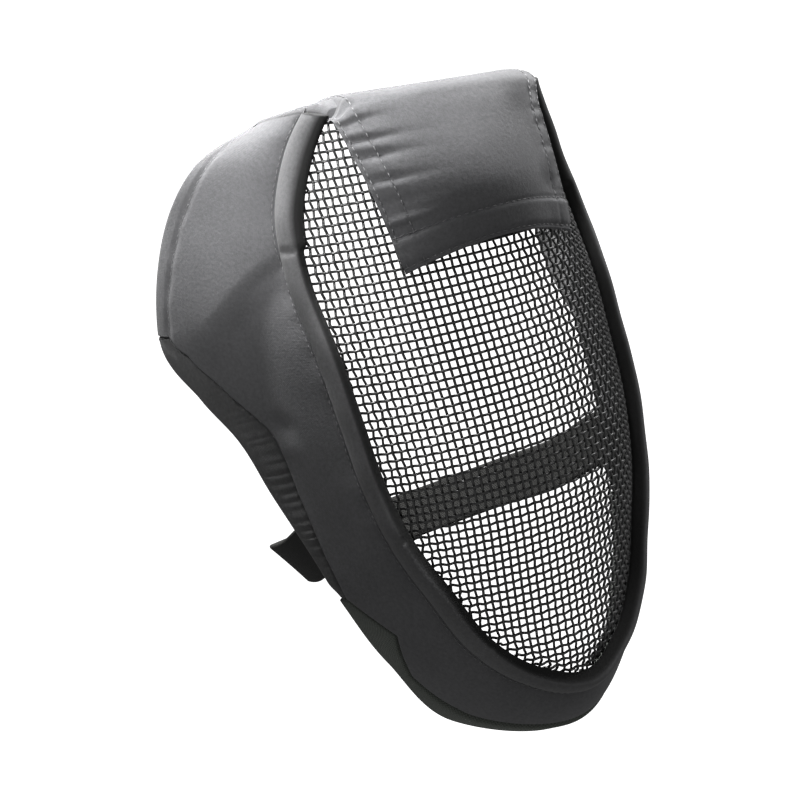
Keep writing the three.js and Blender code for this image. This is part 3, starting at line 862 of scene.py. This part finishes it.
bindingForm = {
    "from": 2.876, "to": 7.83,  # rows
    "shellGap": 0.5, "taperEnd": 0.3, "least": 0.45, "middle": -3.0,
    "fullWidth": (-1, 6),  # narrower than this, where it starts, it is thinner too
    "steps": 620,
    "folds": {"pitch": 4.3, "depth": 0.5, "wander": 1.5, "sharpness": 1.1, "seed": 1.7},
    "gatherRows": (3.6, 4.3, 6.9, 7.6),  # rows where the gathers come and go
    # round it: share of its width from the rear edge, height in mm over the shell's face, mm that
    # it runs on under the shell, share of the gathers' depth
    "across": (0, 0.035, 0.12, 0.26, 0.42, 0.58, 0.72, 0.84, 0.93, 0.985,
               1, 1.0, 1, 1, 0.97, 0.85, 0.6, 0.3, 0.1, 0.02),
    "height": (-2.6, -1.5, -0.55, -0.15, -0.2, -0.45, -0.85, -1.4, -2.1, -3,
               -3.9, -4.45, -4.6, -5.3, -5.5, -5.5, -5.4, -5.3, -4.8, -3.8),
    "tongue": (0, 0, 0, 0, 0, 0, 0, 0, 0, 0, 0, 0, 1.8, 1.8, 0, 0, 0, 0, 0, 0),
    "grip": (0, 0, 0, 0.05, 0.2, 0.5, 0.85, 1, 1, 0.8, 0.3, 0, 0, 0, 0, 0, 0, 0, 0, 0),
}


def buildBinding(name, node, side):
    form, folds = bindingForm, bindingForm["folds"]
    station = np.linspace(form["from"], form["to"], form["steps"])
    end = smoothstep((form["to"] - station) / form["taperEnd"], 0, 1)
    wide = insetAt(station) - form["shellGap"]
    size = blend(form["least"], 1, end * smoothstep(wide, *form["fullWidth"]))
    place, middle = station if side < 0 else lastStation - station, form["middle"]
    rings = [onShell(place, wide * across + tongue * end, blend(middle, height, size))
             for across, height, tongue in zip(form["across"], form["height"], form["tongue"])]
    piece = wall(name, rings)
    run = runAlong(settled(np.stack(rings, 1)).mean(1))
    come, full, less, gone = form["gatherRows"]
    reach = smoothstep(station, come, full) * fade(station, less, gone)
    setAttribute(piece, "run", run)
    setAttribute(piece, "grip", reach[:, None] * np.array(form["grip"]))
    runTree(piece, trees["gather"], {**folds, "seed": folds["seed"] + side}, "binding cloth")
    rounded(piece)
    dress(piece, "binding cloth", "binding_cloth", node)


buildBinding("right_binding", "right_edge_binding", -1)
buildBinding("left_binding", "left_edge_binding", 1)

linerForm = {
    "reach": 7.86, "tuck": 14.0, "thickness": 1.8, "clearance": 0.6, "lip": 2.4, "steps": 300,
    "overlap": 5.0,
    "chinProud": 1.5, "chinRows": (9.0, 10.0), "proudOver": -1.5,  # its lip stands out at the chin
    "outline": (  # mm in, height, 1 where the mm count from the shell's own edge
        (0.8, -4.8, 0), (0.0, -3.7, 0), (0.0, -2.4, 0), (0.35, -1.3, 0), (0.9, -0.8, 0),
        (-2.6, -0.6, 1), (-1.5, -1.0, 1), (-1.0, -2.2, 1), (-0.5, -3.6, 1)),
}


def buildLiner():
    form = linerForm
    station = np.linspace(form["reach"], lastStation - form["reach"], form["steps"])
    edge = np.maximum(insetAt(station), form["lip"])
    outer = -shellForm["thickness"] - form["clearance"]
    inner = outer - form["thickness"]
    outline = [*form["outline"], (-0.2, outer, 1), (form["overlap"], outer, 1),
               (form["tuck"], outer, 1), (form["tuck"], inner, 1), (form["overlap"], inner, 1),
               (0.0, inner, 1)]
    proud = form["chinProud"] * smoothstep(rowOf(station), *form["chinRows"])
    rings = [onShell(station, along + fromShell * edge, up + proud * (up > form["proudOver"]))
             for along, up, fromShell in outline]
    piece = wall("liner_strip", rings)
    dress(piece, "liner knit", "liner_cloth", "inner_liner")


buildLiner()

crownForm = {
    "thickness": 3.5, "rise": (128.5, 126.3), "front": (-29, -7), "rear": (40, 34),  # middle, side
    "sideGap": 1.3, "foldDrop": 3.6, "foldShare": 0.2, "fall": 2.2,
    "lift": 2.6, "liftShare": 0.75,  # its front stands over the shell's top, less towards the rear
    "edgeDrop": 0.7, "edgeFrom": 0.93, "tapeFrom": 0.965,
    "acrossSteps": 90, "depthSteps": 40, "bevel": 1.2, "bevelSteps": 3,
}


def buildCrown():
    form = crownForm
    across = np.linspace(-1, 1, form["acrossSteps"])
    arch = across ** 2
    creaseEnds = np.stack([lip(lastStation), pointOf(rear, lastStation)])
    places = np.linspace(0, 1, form["depthSteps"])

    def sheet(spot, height):
        y = blend(blend(*form["front"], arch), blend(*form["rear"], arch), spot)
        halfWidth = np.interp(y, creaseEnds[:, 1], creaseEnds[:, 0]) - form["sideGap"]
        fold = form["foldDrop"] * max(0, 1 - spot / form["foldShare"]) ** 2
        rise = blend(*form["rise"], arch ** 4)
        lift = form["lift"] * max(0, 1 - spot / form["liftShare"]) * arch
        edgeRoll = (form["edgeDrop"] + lift) * smoothstep(np.abs(across), form["edgeFrom"], 1) ** 2
        top = rise + lift - fold - form["fall"] * spot ** 3 - edgeRoll * (height == 0)
        return np.stack([halfWidth * across, y, top + height], -1)

    rings = [sheet(spot, 0.0) for spot in places]
    rings += [sheet(spot, -form["thickness"]) for spot in places[::-1]]
    piece = wall("crown_cloth", rings)
    tape = smoothstep(np.abs(across), form["tapeFrom"], 1)  # painted shade along the edge, down in the seam
    setAttribute(piece, "tape", tape)
    bevel = piece.modifiers.new("round", "BEVEL")
    bevel.width, bevel.segments = form["bevel"] * millimetre, form["bevelSteps"]
    bevel.limit_method = "ANGLE"
    dress(piece, "crown cloth", "shell_cloth", "crown_panel")


buildCrown()

flapForm = {
    "sections": {  # one column for each section from the sewn end over the fold to the hem
        "halfWidth": (47, 47.3, 47.8, 48, 46.6, 44, 42, 40.5),
        "sideY": (0, -5, -11, -15.5, -18.5, -23.5, -26, -27),
        "sideZ": (129.4, 129.7, 127.7, 120.8, 108, 86, 70, 58.5),
        "middleY": (4, -14, -30.5, -36, -40.5, -44.5, -44.5, -42.5),
        "middleZ": (129.1, 129.6, 128.9, 123, 108, 88, 76, 65.5)},
    "tuck": {"right": 8.0, "left": 1.0, "down": (1.5, 1.1), "across": (0.83, 0.96)},
    "swells": (  # place and half its length down, place and half its width across, rise
        (4.6, 1.0, -0.5, 0.7, 3.4), (5.35, 0.28, 0.78, 0.12, -1.5)),
    "leftStrip": {  # the left side hangs narrower and flatter, clear of the screen
        "narrower": 0.11, "narrowRows": (2.3, 3.8), "narrowAcross": (0, 0.6),
        "forward": 3.5, "forwardRows": (2.6, 4.0), "forwardAcross": (0.62, 1)},
    "thickness": 2.4, "downSteps": 150, "acrossSteps": 130,
    "hemFat": 0.5, "hemFatFrom": (1.5, 5), "hemFatTo": (11.5, 13.5),
    "folds": {"pitch": 8.6, "depth": 1.2, "wander": 1.6, "sharpness": 1.1, "seed": 5.0},
    "grip": {  # where the folds hold: in from the sides, down from the sewn end, up from the hem
        "edge": (0, 2), "rightFull": 7.5, "rightFade": 6.5, "left": 0.3, "leftFade": (7, 12),
        "down": (27, 40), "up": (6, 18), "inside": 0.5},
    "stitches": {
        "sideRows": (1.5, 7.5), "hemRows": (2.0, 13.0),  # in from the edges
        "groove": 0.42, "sideHalf": 0.9, "hemHalf": 1.0, "sideSunk": 0.3, "hemSunk": 0.25,
        "top": 0.05, "sideSteps": 160, "hemReach": 0.97, "hemSteps": 120, "seed": 9},
}
flapLast = len(flapForm["sections"]["halfWidth"]) - 1


def flapHalfWidth(place):
    return np.interp(place, range(flapLast + 1), flapForm["sections"]["halfWidth"])


def flapSheet(place, across):
    cells, left = np.array([*flapForm["sections"].values()], float), flapForm["leftStrip"]
    halfWidth, sideY, sideZ, middleY, middleZ = smoothRun(
        lambda k: cells[:, np.clip(k, 0, flapLast).astype(int)], flapLast, place)
    narrower = smoothstep(place, *left["narrowRows"]) * smoothstep(across, *left["narrowAcross"])
    forward = smoothstep(place, *left["forwardRows"]) * smoothstep(across, *left["forwardAcross"])
    y = blend(middleY, sideY, across ** 2) - forward * left["forward"]
    z = blend(middleZ, sideZ, across ** 2)
    return np.stack([halfWidth * across * (1 - narrower * left["narrower"]), y, z], -1)


def flapPoint(place, across, height):
    points = raised(flapSheet, place, across, -height)  # its normals look towards the head
    tuck = flapForm["tuck"]  # the side strips go down into the folds beside the crown
    sunk = np.where(across < 0, tuck["right"], tuck["left"]) * hump(place, *tuck["down"])
    points[..., 2] -= sunk * smoothstep(np.abs(across), *tuck["across"])
    for at, halfDown, beside, halfAcross, rise in flapForm["swells"]:
        points[..., 1] -= rise * hump(place, at, halfDown) * hump(across, beside, halfAcross)
    return points


def rollOver(distance, radius):  # how far a face drops where it turns over its edge
    near = 1 - np.minimum(distance, radius) / radius
    return radius * (1 - np.sqrt(np.clip(1 - near ** 2, 0, 1)))


def flapGrip(down, fromSide, fromHem, across):
    look = flapForm["grip"]
    right = np.exp(-np.maximum(0, fromSide - look["rightFull"]) / look["rightFade"])
    left = look["left"] * fade(fromSide, *look["leftFade"])
    grip = np.where(across < 0, right, left) * smoothstep(fromSide, *look["edge"])
    return grip * smoothstep(down, *look["down"]) * smoothstep(fromHem, *look["up"])


def flapLines(half, down, place):  # side seams, then the hem's two rows
    look, lines = flapForm["stitches"], []
    steps = np.linspace(look["top"], flapLast, look["sideSteps"])
    for inFrom in look["sideRows"]:
        for side in (-1, 1):
            a = side * (1 - inFrom / flapHalfWidth(steps))
            lines.append(flapPoint(steps, a, half - look["sideSunk"]))
    for inFrom in look["hemRows"]:
        a = np.linspace(-look["hemReach"], look["hemReach"], look["hemSteps"])
        level = np.full_like(a, np.interp(down[-1] - inFrom, down, place))
        lines.append(flapPoint(level, a, half - look["hemSunk"]))
    return lines


def buildFlap():
    form, look = flapForm, flapForm["stitches"]
    place, across = np.meshgrid(np.linspace(0, flapLast, form["downSteps"]),
                                np.linspace(-1, 1, form["acrossSteps"]), indexing="ij")
    down = runAlong(flapPoint(place, across, 0.0)[:, form["acrossSteps"] // 2])
    length = down[-1]
    down = np.repeat(down[:, None], form["acrossSteps"], 1)
    fromSide = (1 - np.abs(across)) * flapHalfWidth(place)
    fromHem, half = length - down, form["thickness"] / 2
    thick = half - np.maximum(rollOver(fromSide, half), rollOver(fromHem, half))
    grooves = sum(hump(fromSide, at, look["sideHalf"]) for at in look["sideRows"]) * (fromHem > 1)
    grooves += sum(hump(fromHem, at, look["hemHalf"]) for at in look["hemRows"])
    fat = smoothstep(fromHem, *form["hemFatFrom"]) * fade(fromHem, *form["hemFatTo"])
    outer = flapPoint(place, across, thick - look["groove"] * grooves + form["hemFat"] * fat)
    inner = flapPoint(place, across, -thick)
    piece = wall("flap_cloth", [*outer.swapaxes(0, 1), *inner[:, ::-1].swapaxes(0, 1)])
    grip = flapGrip(down, fromSide, fromHem, across)
    setAttribute(piece, "grip", np.hstack([grip, form["grip"]["inside"] * grip[:, ::-1]]))
    setAttribute(piece, "run", np.hstack([down, down[:, ::-1]]) * millimetre)
    runTree(piece, trees["gather"], form["folds"], "flap cloth")
    dress(piece, "flap cloth", "flap_cloth", "forehead_flap")
    lines = flapLines(half, down[:, 0], place[:, 0])
    stitchRow("flap_stitches", lines, {**stitchLook, "seed": look["seed"]}, "flap_cloth")


buildFlap()

hemStitch = {"rows": (0.1, 2.98, 240), "proud": 0.02, "seed": 2}


def buildHem():
    line = np.linspace(*hemStitch["rows"])
    lines = []
    for station in (line, lastStation - line):
        back = column(rear, "hem", station)
        lines.append(onShell(station, back, shellDetail(station, back) + hemStitch["proud"]))
    stitchRow("hem_stitches", lines, {**stitchLook, "seed": hemStitch["seed"]}, "shell_cloth")


buildHem()

strapForm = {  # its right half behind the shell; lean is in degrees
    "x": (66.8, 56.2, 33.3, 0), "y": (88, 124, 154, 167), "z": (-60.6, -68, -74.5, -77),
    "lean": (26, 34, 38, 39),
    "station": 6.95, "around": 0.3, "sewnBack": (28, 18, 7), "sewnDeeper": (1.5, 0.9, 2.6),
    "width": 24.0, "thickness": 1.8, "gap": 0.35, "steps": 420,
    "selvedge": {"points": 25, "middle": 0.18, "round": 18, "least": 0.35},
}


def between(t, first, last, a, b):
    return (last - t) / (last - first) * a + (t - first) / (last - first) * b


def routeThrough(points, samples):  # centripetal Catmull-Rom through the points
    points = np.array(points)
    points = np.concatenate([[2 * points[0] - points[1]], points, [2 * points[-1] - points[-2]]])
    spans = np.linalg.norm(np.diff(points, axis=0), axis=-1) ** 0.5
    knots = np.concatenate([[0], np.cumsum(spans)])
    found = []
    for share in np.linspace(0, len(points) - 3, samples):
        k = min(int(share), len(points) - 4)
        t0, t1, t2, t3 = knots[k:k + 4]
        p0, p1, p2, p3 = points[k:k + 4]
        t = blend(t1, t2, share - k)
        middle = between(t, t1, t2, p1, p2)
        early = between(t, t0, t2, between(t, t0, t1, p0, p1), middle)
        late = between(t, t1, t3, middle, between(t, t2, t3, p2, p3))
        found.append(between(t, t1, t2, early, late))
    return np.array(found)


def strapRoute():  # from its sewn end on the right round to the left, and how far it leans
    form, at = strapForm, np.array(strapForm["station"])
    half, leans = [], []
    for back, deeper in zip(form["sewnBack"], form["sewnDeeper"]):
        depth = -shellForm["thickness"] - form["gap"] - form["thickness"] / 2 - deeper
        up = onShell(at - form["around"], back, 0.0) - onShell(at + form["around"], back, 0.0)
        leans.append(math.degrees(math.atan2(-up[0], up[2])))
        half.append(onShell(at, back, depth))
    half += [np.array([-x, y, z]) for x, y, z in zip(form["x"], form["y"], form["z"])]
    leans += form["lean"]
    loop = half + [point * (-1, 1, 1) for point in half[-2::-1]]
    share = np.linspace(0, len(loop) - 1, form["steps"])
    lean = np.interp(share, range(len(loop)), leans + leans[-2::-1])
    return routeThrough(loop, form["steps"]), np.radians(lean)[:, None]


def buildStrap():
    form, look = strapForm, strapForm["selvedge"]
    route, lean = strapRoute()
    run = unit(np.gradient(route, axis=0))
    outward = unit(run[:, [1, 0, 2]] * (-1, 1, 0))
    up = np.array([0, 0, 1]) * np.cos(lean) + outward * np.sin(lean)
    up = unit(up - run * (up * run).sum(-1, keepdims=True))
    face = np.cross(up, run)
    outline = []  # flat webbing with rounded selvedges, a little thinner between them
    for t in np.linspace(-0.5, 0.5, look["points"]):
        thin = min(1, (0.5 - abs(t)) * look["round"] + look["least"])
        outline.append((t, 0.5 * (1 - look["middle"] * math.cos(math.pi * t)) * thin))
    outline += [(t, -thick) for t, thick in reversed(outline)]
    rings = [route + up * along * form["width"] + face * height * form["thickness"]
             for along, height in outline]
    piece = wall("strap_webbing", rings)
    dress(piece, "webbing", "webbing", "head_strap")


buildStrap()
print("pieces made")

stage = {
    "floorDrop": 1.6,  # under the mask's lowest point
    "floorSize": 240.0,
    "backdropReach": 8.0, "backdropSides": 48,  # a pale wall all round, seen by the camera alone
    "floorColour": (0.93, 0.93, 0.93, 1), "glow": 1.0,
    "fill": 0.37,
}


def buildStage():
    size, reach = stage["floorSize"], stage["backdropReach"]
    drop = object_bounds()[0].z - stage["floorDrop"]
    corners = [(-size, -size, drop), (size, -size, drop), (size, size, drop), (-size, size, drop)]
    turns = np.linspace(0, 2 * math.pi, stage["backdropSides"], endpoint=False)
    ring = np.stack([np.sin(turns), np.cos(turns), 0 * turns], -1) * reach
    count = len(turns)
    sides = [(k, (k + 1) % count, (k + 1) % count + count, k + count) for k in range(count)]
    material, tree, shader = newMaterial("pale floor")
    tree.fill(shader, {"Base Color": stage["floorColour"], "Roughness": 1.0,
                       "Emission Color": (1, 1, 1, 1), "Emission Strength": stage["glow"]})
    floor = newPiece("floor", np.array(corners), faces=[(0, 1, 2, 3)])
    backdrop = newPiece("backdrop", np.concatenate([ring + (0, 0, drop), ring + (0, 0, reach)]),
                        faces=sides)
    backdrop.visible_shadow = False
    for piece in (floor, backdrop):
        piece.data.materials.append(material)
        piece.visible_diffuse = piece.visible_glossy = False
    world = bpy.data.worlds.new("studio")
    world.use_nodes = True
    Tree(world.node_tree).fill(world.node_tree.nodes["Background"],
                               {"Color": (1, 1, 1, 1), "Strength": stage["fill"]})
    bpy.context.scene.world = world


lights = {  # place in metres from the frame's origin, size in metres, watts, spread in degrees
    "high_softbox": {"place": (-0.1, 0.05, 1.4), "size": 0.4, "power": 122, "aim": (0, 0.02, 0)},
    "brow_softbox": {"place": (-0.2, -0.12, 0.27), "size": 0.12, "power": 0.18,
                     "aim": (-0.07, 0.03, 0.15), "spread": 30},
    "left_softbox": {"place": (0.5, -0.1, 0.5), "size": 0.3, "power": 5, "aim": (0, 0.02, 0)},
}


def buildLights():
    for name, look in lights.items():
        lamp = bpy.data.lights.new(name, "AREA")
        lamp.shape, lamp.energy, lamp.size = "SQUARE", look["power"], look["size"]
        lamp.spread = math.radians(look.get("spread", 180))
        made = linked(name, lamp)
        made.location = look["place"]
        toward = Vector(look["aim"]) - Vector(look["place"])
        made.rotation_euler = toward.to_track_quat("-Z", "Y").to_euler()
        made.visible_camera = False


cameraForm = {
    "azimuth": math.radians(28.5), "elevation": math.radians(10), "roll": math.radians(14.8),
    "distance": 1.25, "lens": 135, "sensor": 36, "aimRight": -0.0394, "aimUp": -0.0053,
}


def buildCamera():
    form = cameraForm
    facing = (Matrix.Rotation(-form["azimuth"], 3, "Z")
              @ Matrix.Rotation(math.pi / 2 - form["elevation"], 3, "X")
              @ Matrix.Rotation(-form["roll"], 3, "Z"))
    away = Vector((-form["aimRight"], -form["aimUp"], form["distance"])).normalized()
    right = Vector((0, 1, 0)).cross(away).normalized()
    turn = facing @ Matrix((right, away.cross(right), away)).transposed()
    data = bpy.data.cameras.new("camera")
    data.lens, data.sensor_width = form["lens"], form["sensor"]
    camera = linked("camera", data)
    place = facing @ Vector((0, 0, form["distance"]))
    camera.matrix_world = Matrix.Translation(place) @ turn.to_4x4()
    bpy.context.scene.camera = camera


buildStage()
buildLights()
buildCamera()
bpy.context.scene.view_settings.view_transform = "Standard"
print("stage, lights and camera placed")
